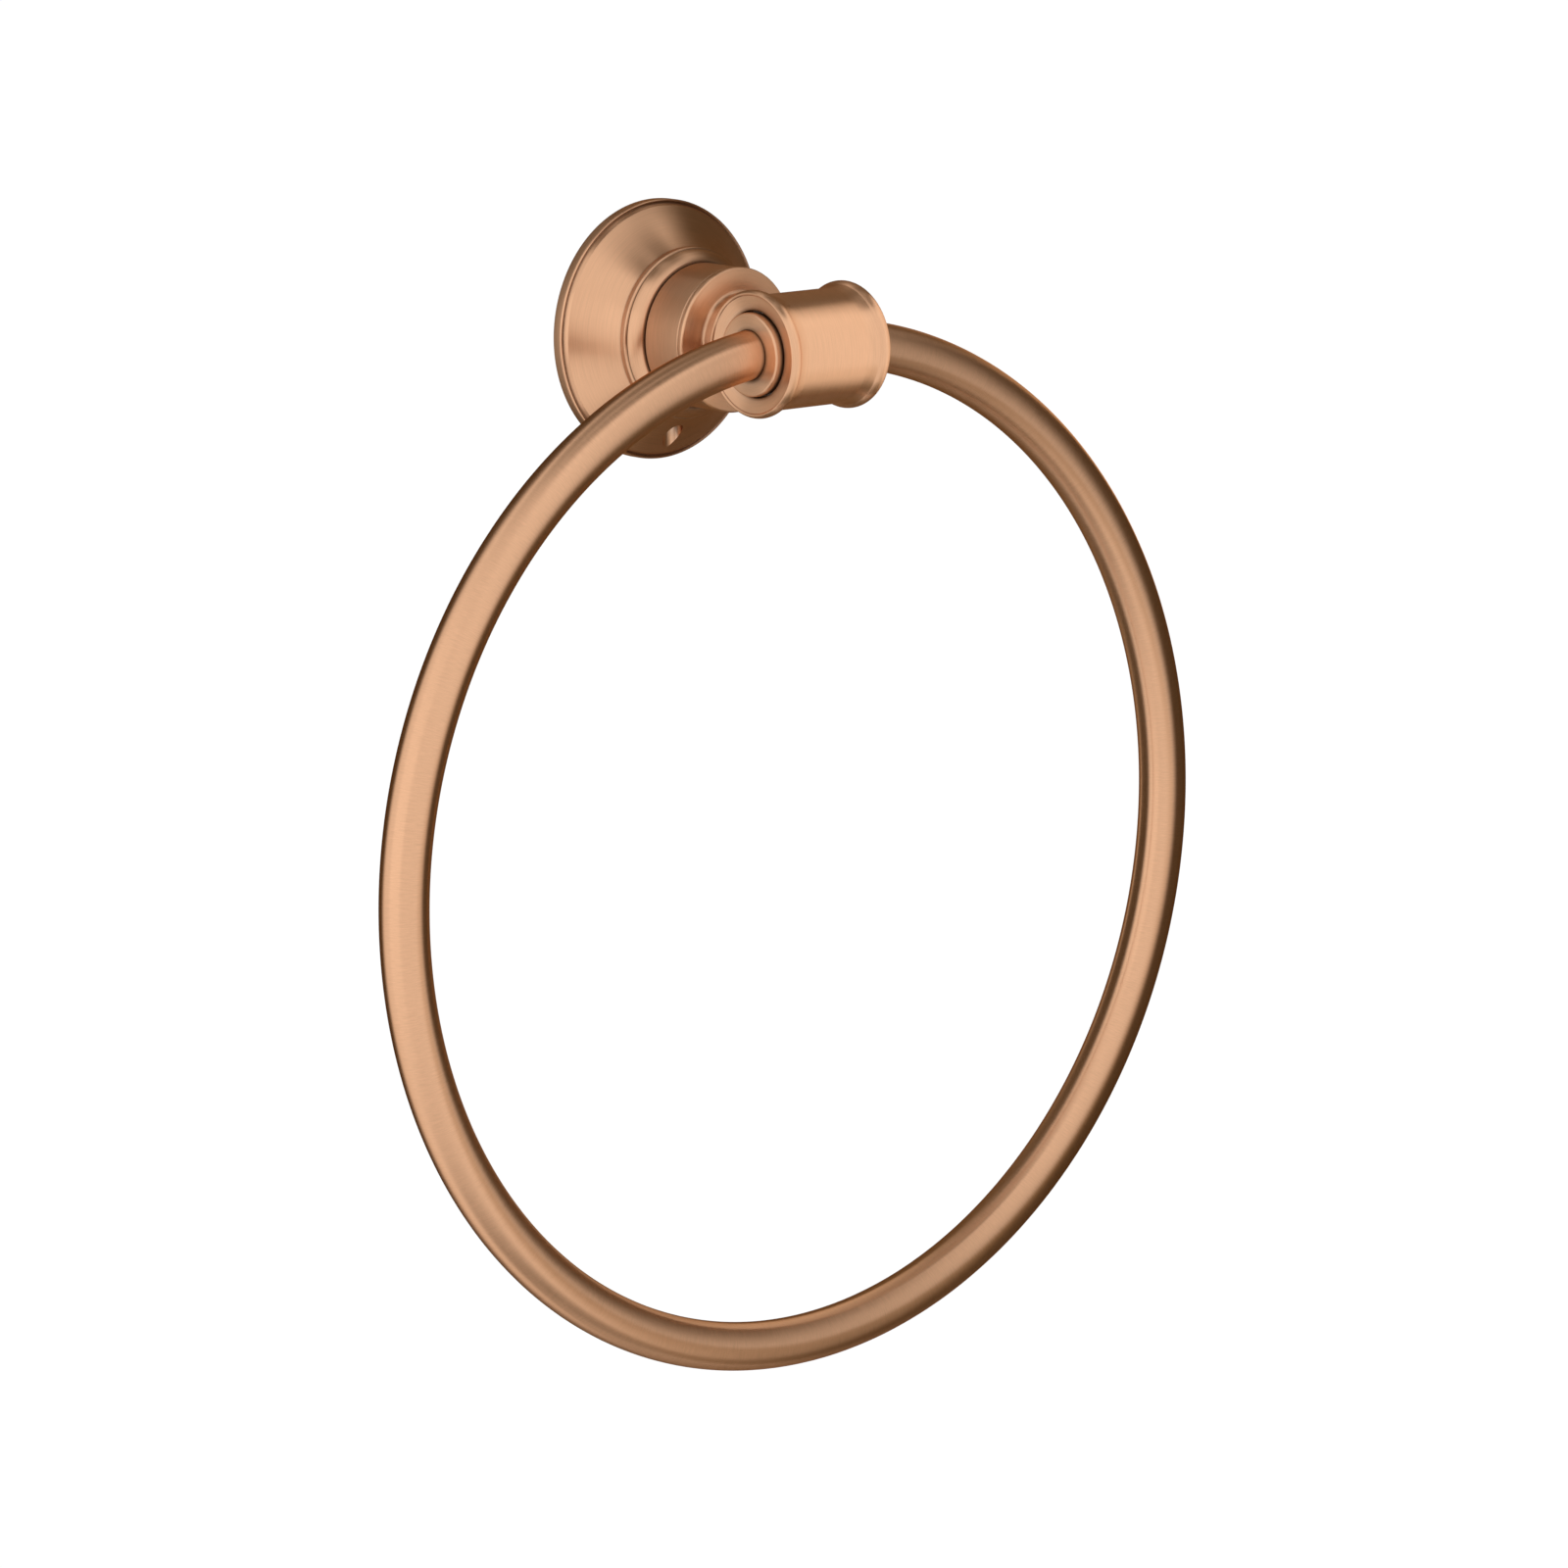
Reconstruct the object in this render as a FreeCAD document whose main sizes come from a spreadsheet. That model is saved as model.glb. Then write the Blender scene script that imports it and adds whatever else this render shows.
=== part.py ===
import FreeCAD, Part
import os

import Sketcher

# A towel ring for a bathroom wall. A stepped round flange hides a screwed-on plate and carries a
# short post. The post ends in a collar whose neck is saddled to a short barrel lying crosswise.
# A large open ring of bent tube enters both ends of the barrel and swings in it.
#
# Millimetres. The wall is the plane y = 0 and the front faces -y, x runs to the right and z up.
# The flange, post and collar are turned about the y axis. The barrel lies along x.

SIZES = [
    ("projection", 46.0, "wall to the axis on which the ring swings"),
    ("flange_depth", 14.9, "wall to the front face of the flange"),
    ("flange_radius", 26.85, "rim of the flange"),
    ("rim_back_bevel", 0.55, "bevel on the edge of the rim at the wall"),
    ("rim_side", 2.4, "wall to the front end of the rim's straight side"),
    ("rim_turn_in", 0.65, "how far the rounded rim edge turns in"),
    ("rim_turn_depth", 0.8, "depth of the rounded rim edge"),
    ("rim_round", 1.1, "radius of the rounded rim edge"),
    ("cone_hollow", 27.5, "radius of the slightly hollow cone"),
    ("cone_front_radius", 17.45, "front end of the cone"),
    ("moulding_height", 4.0, "moulding between cone and front face"),
    ("moulding_radius", 17.8, "side of the moulding"),
    ("moulding_side", 1.05, "straight side of the moulding"),
    ("moulding_round", 0.35, "edge of the moulding"),
    ("moulding_break_radius", 16.6, "break in the face of the moulding"),
    ("moulding_break_height", 1.0, "break in front of the moulding to the front face"),
    ("moulding_crown", 3.2, "radius of the crowned moulding face"),
    ("moulding_foot_radius", 15.3, "inner edge of the moulding"),
    ("web_thickness", 3.9, "front wall of the flange, clamped by the bolt"),
    ("rim_width", 4.55, "rim of the flange round the wall plate"),
    ("plate_thickness", 3.0, "wall plate"),
    ("plate_edge", 0.4, "bevel on the wall plate"),
    ("plate_side_gap", 0.3, "between the rim of the plate and the flange"),
    ("plate_face_gap", 0.2, "between the face of the plate and the flange"),
    ("boss_radius", 11.0, "boss of the wall plate that carries the flange"),
    ("boss_fit", 0.05, "slip fit of the flange on the boss"),
    ("boss_end_gap", 1.0, "between the end of the boss and the flange"),
    ("boss_hollow_radius", 7.0, "hollow of the boss, for the bolt head"),
    ("boss_bevel", 0.5, "bevel at the end of the boss"),
    ("wall_hole_inset", 6.0, "rim of the plate to the middle of each screw hole"),
    ("wall_hole_radius", 2.25, "screw hole"),
    ("wall_sink_radius", 4.25, "countersink at the face of the plate"),
    ("wall_sink_depth", 2.0, "countersink"),
    ("grub_radius", 2.0, "grub screw"),
    ("grub_point_radius", 0.9, "point of the grub screw"),
    ("grub_length", 8.0, "grub screw"),
    ("grub_bevel", 0.3, "outer edge of the grub screw"),
    ("grub_socket_flats", 2.0, "across flats"),
    ("grub_socket_depth", 2.2, "hexagon socket"),
    ("grub_groove_depth", 1.7, "groove round the boss in which the grub screw bears"),
    ("grub_seat_gap", 0.05, "between the point of the grub screw and its groove"),
    ("thread_gap", 0.05, "round each thread"),
    ("post_radius", 14.8, "post"),
    ("post_length", 10.45, "post"),
    ("post_bevel", 0.35, "bevel at both ends of the post"),
    ("spigot_radius", 8.9, "spigots that centre the post"),
    ("spigot_length", 2.3, "spigots"),
    ("spigot_bevel", 0.3, "edge of the spigots"),
    ("spigot_fit", 0.05, "slip fit of the spigots in the post"),
    ("spigot_end_gap", 0.2, "between each spigot and the bottom of its seat"),
    ("bolt_radius", 3.0, "bolt that ties the stack together"),
    ("bolt_passage", 0.2, "free passage round the bolt"),
    ("bolt_head_radius", 5.0, "bolt head"),
    ("bolt_head_height", 6.0, "bolt head"),
    ("bolt_head_bevel", 0.4, "edge of the bolt head"),
    ("bolt_head_room", 0.8, "free space behind the bolt head"),
    ("bolt_tip_bevel", 0.6, "end of the bolt"),
    ("bolt_tip_gap", 0.2, "bolt end short of the barrel bore"),
    ("bolt_socket_flats", 5.0, "across flats"),
    ("bolt_socket_depth", 3.0, "hexagon socket"),
    ("washer_radius", 6.0, "washer under the bolt head"),
    ("washer_thickness", 1.2, "washer"),
    ("collar_radius", 14.9, "collar disc"),
    ("collar_thickness", 1.35, "collar disc at its edge"),
    ("collar_bevel", 0.2, "rear edge of the collar disc"),
    ("collar_round", 0.6, "front edge of the collar disc"),
    ("collar_rise", 0.3, "rise of the domed disc towards the neck"),
    ("collar_dome", 12.0, "radius of the domed disc"),
    ("neck_radius", 9.6, "neck between collar and barrel"),
    ("neck_fillet", 0.8, "hollow between disc and neck"),
    ("saddle_gap", 0.02, "brazed joint between neck and barrel"),
    ("barrel_half_length", 13.3, "middle of the barrel to the end of its rim"),
    ("barrel_radius", 11.75, "straight middle of the barrel"),
    ("flare_width", 2.6, "flare between the straight middle and the crease"),
    ("flare_hollow", 9.0, "radius of the hollow flare"),
    ("crease_radius", 12.35, "crease between flare and rim"),
    ("barrel_rim_width", 2.7, "rounded rim outside the crease"),
    ("barrel_rim_radius", 12.4, "where the rim turns into the end face"),
    ("barrel_rim_round", 1.8, "radius of the rounded rim"),
    ("bead_step", 0.4, "depth of the rim inside its end"),
    ("bead_round", 0.5, "inner edge of the rim"),
    ("end_face_radius", 11.9, "outer edge of the sloped end face"),
    ("end_face_slope", 0.75, "how far the end face slopes in"),
    ("bore_radius", 8.0, "bore of the barrel"),
    ("sleeve_seat_depth", 2.8, "end of the rim to the seat of the sleeve flange"),
    ("sleeve_fit", 0.02, "sleeve in the bore"),
    ("sleeve_flange_radius", 8.5, "flange of the bearing sleeve"),
    ("sleeve_flange_thickness", 0.8, "flange of the bearing sleeve"),
    ("sleeve_depth", 8.8, "end of the rim to the inner end of the sleeve"),
    ("running_fit", 0.05, "journal in its sleeve"),
    ("end_float", 0.1, "journal shoulder to the sleeve flange"),
    ("journal_radius", 7.0, "journal in the sleeve"),
    ("journal_depth", 6.8, "end of the rim to the inner end of the journal"),
    ("journal_bevel", 0.4, "inner edge of the journal"),
    ("shoulder_radius", 8.5, "shoulder of the journal at the mouth of the barrel"),
    ("shoulder_gap", 0.3, "free space round the shoulder"),
    ("shoulder_proud", 0.6, "outer face of the shoulder beyond the end of the rim"),
    ("shoulder_round", 0.5, "outer edge of the shoulder"),
    ("ring_radius", 103.45, "middle line of the ring"),
    ("tube_radius", 5.0, "tube of the ring"),
    ("tube_wall", 1.5, "tube of the ring"),
    ("tube_depth", 5.8, "end of the rim to each end of the tube"),
    ("tube_fit", 0.05, "tube in the journal, brazed"),
    ("cut_past", 2.0, "how far a cut runs past a face"),
]

DERIVED = [
    ("plate_radius", "=flange_radius - rim_width - plate_side_gap", "rim of the wall plate"),
    ("wall_hole_offset", "=plate_radius - wall_hole_inset", "each screw hole from the middle"),
    ("boss_end", "=flange_depth - web_thickness - boss_end_gap", "wall to the end of the boss"),
    ("grub_depth", "=(plate_thickness + boss_end) / 2", "wall to the grub screw, half way up the boss"),
    ("sleeve_reach", "=barrel_half_length - sleeve_depth", "middle of the barrel to the sleeve"),
    ("journal_reach", "=barrel_half_length - journal_depth", "middle of the barrel to the journal"),
    ("tube_end", "=barrel_half_length - tube_depth", "middle of the barrel to each tube end"),
    ("shoulder_face", "=barrel_half_length + shoulder_proud", "middle to the face of the shoulder"),
    ("ring_drop", "=sqrt(ring_radius^2 - shoulder_face^2)", "swing axis to the middle of the ring"),
    ("neck_stop", "=sqrt(barrel_radius^2 - neck_radius^2)", "where the neck meets the barrel side"),
    ("bolt_socket_corner", "=bolt_socket_flats / sqrt(3)", "middle to a corner of the socket"),
    ("grub_socket_corner", "=grub_socket_flats / sqrt(3)", "middle to a corner of the socket"),
]

# Sums of sizes that several pieces share.
POST_FRONT = "- flange_depth - post_length"
WEB_BACK = "- flange_depth + web_thickness"
HEAD_FRONT = WEB_BACK + " + washer_thickness"
HEAD_BACK = HEAD_FRONT + " + bolt_head_height"
HOLLOW_FLOOR = HEAD_BACK + " + bolt_head_room"
DISC_FRONT = POST_FRONT + " - collar_thickness"
NECK_ROOT = DISC_FRONT + " - collar_rise"
RECESS_FLOOR = "- plate_thickness - plate_face_gap"
BOSS_END = "- boss_end"
GROOVE_BOTTOM = "boss_radius - grub_groove_depth"
GRUB_TIP = GROOVE_BOTTOM + " + grub_point_radius + grub_seat_gap"
GRUB_SHOULDER = GROOVE_BOTTOM + " + grub_radius + grub_seat_gap"
CREASE = "barrel_half_length - barrel_rim_width"
WAIST_END = CREASE + " - flare_width"
SLEEVE_SEAT = "barrel_half_length - sleeve_seat_depth"
SLEEVE_FACE = SLEEVE_SEAT + " + sleeve_flange_thickness"
SHOULDER_BACK = SLEEVE_FACE + " + end_float"

ARC = "arc"
FULL_TURN = 360

doc = FreeCAD.newDocument("towel_ring")
sheet = doc.addObject("Spreadsheet::Sheet", "sizes")
for row, (name, value, note) in enumerate(SIZES + DERIVED, start=1):
    sheet.set("A%d" % row, note)
    sheet.set("B%d" % row, str(value))
    sheet.setAlias("B%d" % row, name)
doc.recompute()


def amount(words):
    """Add up a sum of size names such as 'flange_depth - web_thickness'."""
    total = 0.0
    sign = 1
    for word in words.split():
        if word in ("+", "-"):
            sign = 1 if word == "+" else -1
        else:
            total += sign * getattr(sheet, word)
            sign = 1
    return total


def formula(words):
    """The same sum as an expression on the sheet."""
    return " ".join(word if word in ("+", "-") else "sizes." + word for word in words.split())


def opposite(words):
    """The same sum with every sign turned round."""
    turned = []
    for word in words.split():
        if word in ("+", "-"):
            turned.append("-" if word == "+" else "+")
        elif not turned or turned[-1] not in ("+", "-"):
            turned += ["-", word]
        else:
            turned.append(word)
    return " ".join(turned)


def new_body(name):
    """An empty body whose label is also the name of its file."""
    body = doc.addObject("PartDesign::Body", name)
    body.Label = name
    return body


def new_sketch(body, name, role, offset=None):
    """A sketch on one of the body's own planes, moved along its normal by a sum of sizes."""
    sketch = body.newObject("Sketcher::SketchObject", name)
    plane = [item for item in body.Origin.OriginFeatures if item.Role == role][0]
    sketch.AttachmentSupport = [(plane, "")]
    sketch.MapMode = "FlatFace"
    sketch.Visibility = False
    if offset:
        sketch.setExpression("AttachmentOffset.Base.z", formula(offset))
    return sketch


def tie(sketch, kind, item, end, words, name):
    """Fix one coordinate of a point to a sum of sizes, or to an axis where there is none."""
    if not words:
        axis = -2 if kind == "DistanceX" else -1
        sketch.addConstraint(Sketcher.Constraint("PointOnObject", item, end, axis))
        return
    index = sketch.addConstraint(Sketcher.Constraint(kind, item, end, amount(words)))
    sketch.renameConstraint(index, name)
    sketch.setExpression("Constraints." + name, formula(words))


def tie_radius(sketch, item, words, name):
    """Fix the radius of an arc or circle to a sum of sizes."""
    index = sketch.addConstraint(Sketcher.Constraint("Radius", item, amount(words)))
    sketch.renameConstraint(index, name)
    sketch.setExpression("Constraints." + name, formula(words))


def arc_middle(start, end, radius, side):
    """The middle of an arc that bulges to the left (1) or right (-1) of its chord."""
    chord = end - start
    half = chord.Length / 2
    sagitta = radius - (radius ** 2 - half ** 2) ** 0.5
    left = FreeCAD.Vector(-chord.y, chord.x, 0).normalize()
    return (start + end) / 2 + left * (side * sagitta)


def outline(body, name, role, corners):
    """A closed outline with every corner tied to the sheet.

    A corner holds its two coordinates. One that starts an arc also holds the arc's radius and
    the side of the chord to which the arc bulges.
    """
    sketch = new_sketch(body, name, role)
    spots = [FreeCAD.Vector(amount(corner[0]), amount(corner[1]), 0) for corner in corners]
    first_ends = []
    last_ends = []
    for number, corner in enumerate(corners):
        start = spots[number]
        end = spots[(number + 1) % len(spots)]
        if len(corner) == 2:
            sketch.addGeometry(Part.LineSegment(start, end), False)
            first_ends.append(1)
        else:
            middle = arc_middle(start, end, amount(corner[3]), corner[4])
            sketch.addGeometry(Part.Arc(start, middle, end), False)
            near_start = sketch.getPoint(number, 1).distanceToPoint(start)
            near_end = sketch.getPoint(number, 1).distanceToPoint(end)
            first_ends.append(1 if near_start < near_end else 2)
        last_ends.append(2 if first_ends[-1] == 1 else 1)
    for number, corner in enumerate(corners):
        following = (number + 1) % len(corners)
        sketch.addConstraint(Sketcher.Constraint(
            "Coincident", number, last_ends[number], following, first_ends[following]))
        tie(sketch, "DistanceX", number, first_ends[number], corner[0], "across_%d" % number)
        tie(sketch, "DistanceY", number, first_ends[number], corner[1], "along_%d" % number)
        if len(corner) > 2:
            tie_radius(sketch, number, corner[3], "radius_%d" % number)
    return sketch


def add_axis(sketch, start, end):
    """A construction line to turn about, tied like a corner at both of its ends."""
    line = sketch.addGeometry(Part.LineSegment(
        FreeCAD.Vector(amount(start[0]), amount(start[1]), 0),
        FreeCAD.Vector(amount(end[0]), amount(end[1]), 0)), True)
    for point, place in ((1, start), (2, end)):
        tie(sketch, "DistanceX", line, point, place[0], "axis_across_%d" % point)
        tie(sketch, "DistanceY", line, point, place[1], "axis_along_%d" % point)
    return "Axis0"


def circle(sketch, across, along, radius, name):
    """A circle whose middle and radius are tied to the sheet."""
    centre = FreeCAD.Vector(amount(across), amount(along), 0)
    item = sketch.addGeometry(Part.Circle(centre, FreeCAD.Vector(0, 0, 1), amount(radius)), False)
    tie(sketch, "DistanceX", item, 3, across, name + "_across")
    tie(sketch, "DistanceY", item, 3, along, name + "_along")
    tie_radius(sketch, item, radius, name + "_radius")


def hexagon(sketch, flats, corner):
    """A hexagon round the sketch's origin, drawn inside a construction circle."""
    guide = sketch.addGeometry(Part.Circle(
        FreeCAD.Vector(0, 0, 0), FreeCAD.Vector(0, 0, 1), amount(corner)), True)
    sketch.addConstraint(Sketcher.Constraint("Coincident", guide, 3, -1, 1))
    tie_radius(sketch, guide, corner, "corner_radius")
    reach = amount(corner)
    half = amount(flats) / 2
    spots = [(reach, 0), (reach / 2, half), (-reach / 2, half),
             (-reach, 0), (-reach / 2, -half), (reach / 2, -half)]
    sides = []
    for number, spot in enumerate(spots):
        following = spots[(number + 1) % len(spots)]
        sides.append(sketch.addGeometry(Part.LineSegment(
            FreeCAD.Vector(spot[0], spot[1], 0),
            FreeCAD.Vector(following[0], following[1], 0)), False))
    for number, side in enumerate(sides):
        sketch.addConstraint(Sketcher.Constraint(
            "Coincident", side, 2, sides[(number + 1) % len(sides)], 1))
        sketch.addConstraint(Sketcher.Constraint("PointOnObject", side, 1, guide))
    for side in sides[1:]:
        sketch.addConstraint(Sketcher.Constraint("Equal", sides[0], side))
    sketch.addConstraint(Sketcher.Constraint("PointOnObject", sides[0], 1, -1))


def turn(body, name, sketch, axis, kind="PartDesign::Revolution"):
    """Turn an outline about an axis of its sketch, as a solid or as a groove."""
    feature = body.newObject(kind, name)
    feature.Profile = sketch
    feature.ReferenceAxis = (sketch, [axis])
    feature.Angle = FULL_TURN
    body.Tip = feature
    return feature


def pocket(body, name, sketch, length, towards_normal=False):
    """Sink a sketch into a body, against or along the normal of its plane."""
    doc.recompute()
    before = body.Shape.Volume
    feature = body.newObject("PartDesign::Pocket", name)
    feature.Profile = sketch
    feature.setExpression("Length", formula(length))
    feature.Reversed = towards_normal
    body.Tip = feature
    doc.recompute()
    if not body.Shape.Volume < before:
        raise ValueError("%s cuts nothing" % name)
    return feature


bodies = []

# The wall plate, screwed to the wall, has a hollow boss for the flange. A groove round the boss
# takes the point of the grub screw.
plate = new_body("wall_plate")
bodies.append(plate)
plate_outline = outline(plate, "plate_outline", "XY_Plane", [
    ("", ""),
    ("plate_radius", ""),
    ("plate_radius", "- plate_thickness + plate_edge"),
    ("plate_radius - plate_edge", "- plate_thickness"),
    ("boss_radius", "- plate_thickness"),
    ("boss_radius", "- grub_depth + grub_groove_depth"),
    (GROOVE_BOTTOM, "- grub_depth"),
    ("boss_radius", "- grub_depth - grub_groove_depth"),
    ("boss_radius", BOSS_END + " + boss_bevel"),
    ("boss_radius - boss_bevel", BOSS_END),
    ("boss_hollow_radius", BOSS_END),
    ("boss_hollow_radius", HOLLOW_FLOOR),
    ("", HOLLOW_FLOOR),
])
turn(plate, "plate_turned", plate_outline, "V_Axis")
SINK_EDGE = "wall_hole_offset + wall_sink_radius"
HOLE_EDGE = "wall_hole_offset + wall_hole_radius"
hole_outline = outline(plate, "hole_outline", "XY_Plane", [
    ("wall_hole_offset", "cut_past"),
    (HOLE_EDGE, "cut_past"),
    (HOLE_EDGE, "- plate_thickness + wall_sink_depth"),
    (SINK_EDGE, "- plate_thickness"),
    (SINK_EDGE, "- plate_thickness - cut_past"),
    ("wall_hole_offset", "- plate_thickness - cut_past"),
])
hole_axis = add_axis(hole_outline, ("wall_hole_offset", ""), ("wall_hole_offset", "cut_past"))
right_hole = turn(plate, "right_screw_hole", hole_outline, hole_axis, "PartDesign::Groove")
both_holes = plate.newObject("PartDesign::Mirrored", "both_screw_holes")
both_holes.Originals = [right_hole]
mirror_plane = [item for item in plate.Origin.OriginFeatures if item.Role == "YZ_Plane"][0]
both_holes.MirrorPlane = (mirror_plane, [""])
plate.Tip = both_holes

# The flange is a stepped bell. Its back is recessed over the plate and socketed on the boss.
flange = new_body("flange")
bodies.append(flange)
SOCKET_RADIUS = "boss_radius + boss_fit"
RECESS_RADIUS = "plate_radius + plate_side_gap"
RIM_TURN = "- rim_side - rim_turn_depth"
MOULDING_BACK = "- flange_depth + moulding_height"
MOULDING_EDGE = MOULDING_BACK + " - moulding_side"
SPIGOT_END = "- flange_depth - spigot_length"
flange_outline = outline(flange, "flange_outline", "XY_Plane", [
    ("bolt_radius + bolt_passage", WEB_BACK),
    (SOCKET_RADIUS, WEB_BACK),
    (SOCKET_RADIUS, RECESS_FLOOR),
    (RECESS_RADIUS, RECESS_FLOOR),
    (RECESS_RADIUS, ""),
    ("flange_radius - rim_back_bevel", ""),
    ("flange_radius", "- rim_back_bevel"),
    ("flange_radius", "- rim_side", ARC, "rim_round", 1),
    ("flange_radius - rim_turn_in", RIM_TURN, ARC, "cone_hollow", -1),
    ("cone_front_radius", MOULDING_BACK),
    ("moulding_radius", MOULDING_BACK),
    ("moulding_radius", MOULDING_EDGE, ARC, "moulding_round", 1),
    ("moulding_radius - moulding_round", MOULDING_EDGE + " - moulding_round",
     ARC, "moulding_crown", 1),
    ("moulding_break_radius", "- flange_depth + moulding_break_height",
     ARC, "moulding_crown", 1),
    ("moulding_foot_radius", "- flange_depth"),
    ("spigot_radius", "- flange_depth"),
    ("spigot_radius", SPIGOT_END + " + spigot_bevel"),
    ("spigot_radius - spigot_bevel", SPIGOT_END),
    ("bolt_radius + bolt_passage", SPIGOT_END),
])
turn(flange, "flange_turned", flange_outline, "V_Axis")
grub_hole_sketch = new_sketch(flange, "grub_hole_outline", "XY_Plane")
circle(grub_hole_sketch, "", "- grub_depth", "grub_radius + thread_gap", "grub_hole")
pocket(flange, "grub_hole", grub_hole_sketch, "flange_radius")

# The grub screw stands upright under the flange. Its cone bears in the groove of the boss.
grub = new_body("flange_grub_screw")
bodies.append(grub)
grub.setExpression("Placement.Base.y", "-sizes.grub_depth")
GRUB_END = GRUB_TIP + " + grub_length"
grub_outline = outline(grub, "grub_outline", "XZ_Plane", [
    ("", opposite(GRUB_TIP)),
    ("grub_point_radius", opposite(GRUB_TIP)),
    ("grub_radius", opposite(GRUB_SHOULDER)),
    ("grub_radius", opposite(GRUB_END) + " + grub_bevel"),
    ("grub_radius - grub_bevel", opposite(GRUB_END)),
    ("", opposite(GRUB_END)),
])
turn(grub, "grub_turned", grub_outline, "V_Axis")
grub_socket = new_sketch(grub, "grub_socket_outline", "XY_Plane", opposite(GRUB_END))
hexagon(grub_socket, "grub_socket_flats", "grub_socket_corner")
pocket(grub, "grub_socket", grub_socket, "grub_socket_depth", True)

# The post is a plain cylinder with a seat at each end for a spigot.
post = new_body("post")
bodies.append(post)
SEAT_RADIUS = "spigot_radius + spigot_fit"
REAR_SEAT = "- flange_depth - spigot_length - spigot_end_gap"
FRONT_SEAT = POST_FRONT + " + spigot_length + spigot_end_gap"
post_outline = outline(post, "post_outline", "XY_Plane", [
    (SEAT_RADIUS, "- flange_depth"),
    ("post_radius - post_bevel", "- flange_depth"),
    ("post_radius", "- flange_depth - post_bevel"),
    ("post_radius", POST_FRONT + " + post_bevel"),
    ("post_radius - post_bevel", POST_FRONT),
    (SEAT_RADIUS, POST_FRONT),
    (SEAT_RADIUS, FRONT_SEAT),
    ("bolt_radius + bolt_passage", FRONT_SEAT),
    ("bolt_radius + bolt_passage", REAR_SEAT),
    (SEAT_RADIUS, REAR_SEAT),
])
turn(post, "post_turned", post_outline, "V_Axis")

# The collar is a disc with a neck. The end of the neck is cut to the barrel's own outline.
collar = new_body("collar")
bodies.append(collar)
COLLAR_BACK = POST_FRONT + " + spigot_length"
NECK_END = "- projection + neck_stop"
collar_outline = outline(collar, "collar_outline", "XY_Plane", [
    ("bolt_radius + bolt_passage", COLLAR_BACK),
    ("spigot_radius - spigot_bevel", COLLAR_BACK),
    ("spigot_radius", COLLAR_BACK + " - spigot_bevel"),
    ("spigot_radius", POST_FRONT),
    ("collar_radius - collar_bevel", POST_FRONT),
    ("collar_radius", POST_FRONT + " - collar_bevel"),
    ("collar_radius", DISC_FRONT + " + collar_round", ARC, "collar_round", 1),
    ("collar_radius - collar_round", DISC_FRONT, ARC, "collar_dome", 1),
    ("neck_radius + neck_fillet", NECK_ROOT, ARC, "neck_fillet", -1),
    ("neck_radius", NECK_ROOT + " - neck_fillet"),
    ("neck_radius", NECK_END),
    ("bolt_radius + bolt_passage", NECK_END),
])
turn(collar, "collar_turned", collar_outline, "V_Axis")
BARREL_SIDE = "- projection + barrel_radius + saddle_gap"
CREASE_SIDE = "- projection + crease_radius + saddle_gap"
saddle_outline = outline(collar, "saddle_outline", "XY_Plane", [
    (opposite(CREASE), "- projection"),
    (CREASE, "- projection"),
    (CREASE, CREASE_SIDE, ARC, "flare_hollow", 1),
    (WAIST_END, BARREL_SIDE),
    (opposite(WAIST_END), BARREL_SIDE, ARC, "flare_hollow", 1),
    (opposite(CREASE), CREASE_SIDE),
])
barrel_axis = add_axis(saddle_outline, ("", "- projection"), (CREASE, "- projection"))
turn(collar, "saddle", saddle_outline, barrel_axis, "PartDesign::Groove")

# The barrel has a waist, two hollow flares and a rounded rim at each end. Its end faces slope in
# to the seats of the bearing sleeves. The bolt is screwed into it from behind.
barrel = new_body("barrel")
bodies.append(barrel)
barrel.setExpression("Placement.Base.y", "-sizes.projection")
MOUTH_RADIUS = "shoulder_radius + shoulder_gap"
BEAD_END = "barrel_half_length - bead_step"
MOUTH = BEAD_END + " - end_face_slope"
barrel_outline = outline(barrel, "barrel_outline", "XY_Plane", [
    (opposite(SLEEVE_SEAT), "bore_radius"),
    (opposite(SLEEVE_SEAT), MOUTH_RADIUS),
    (opposite(MOUTH), MOUTH_RADIUS),
    (opposite(BEAD_END), "end_face_radius", ARC, "bead_round", 1),
    (opposite("barrel_half_length"), "barrel_rim_radius", ARC, "barrel_rim_round", 1),
    (opposite(CREASE), "crease_radius", ARC, "flare_hollow", -1),
    (opposite(WAIST_END), "barrel_radius"),
    (WAIST_END, "barrel_radius", ARC, "flare_hollow", -1),
    (CREASE, "crease_radius", ARC, "barrel_rim_round", 1),
    ("barrel_half_length", "barrel_rim_radius", ARC, "bead_round", 1),
    (BEAD_END, "end_face_radius"),
    (MOUTH, MOUTH_RADIUS),
    (SLEEVE_SEAT, MOUTH_RADIUS),
    (SLEEVE_SEAT, "bore_radius"),
])
turn(barrel, "barrel_turned", barrel_outline, "H_Axis")
bolt_thread = new_sketch(barrel, "bolt_thread_outline", "XZ_Plane")
circle(bolt_thread, "", "", "bolt_radius + thread_gap", "bolt_thread")
pocket(barrel, "bolt_thread", bolt_thread, "crease_radius + cut_past")

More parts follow.
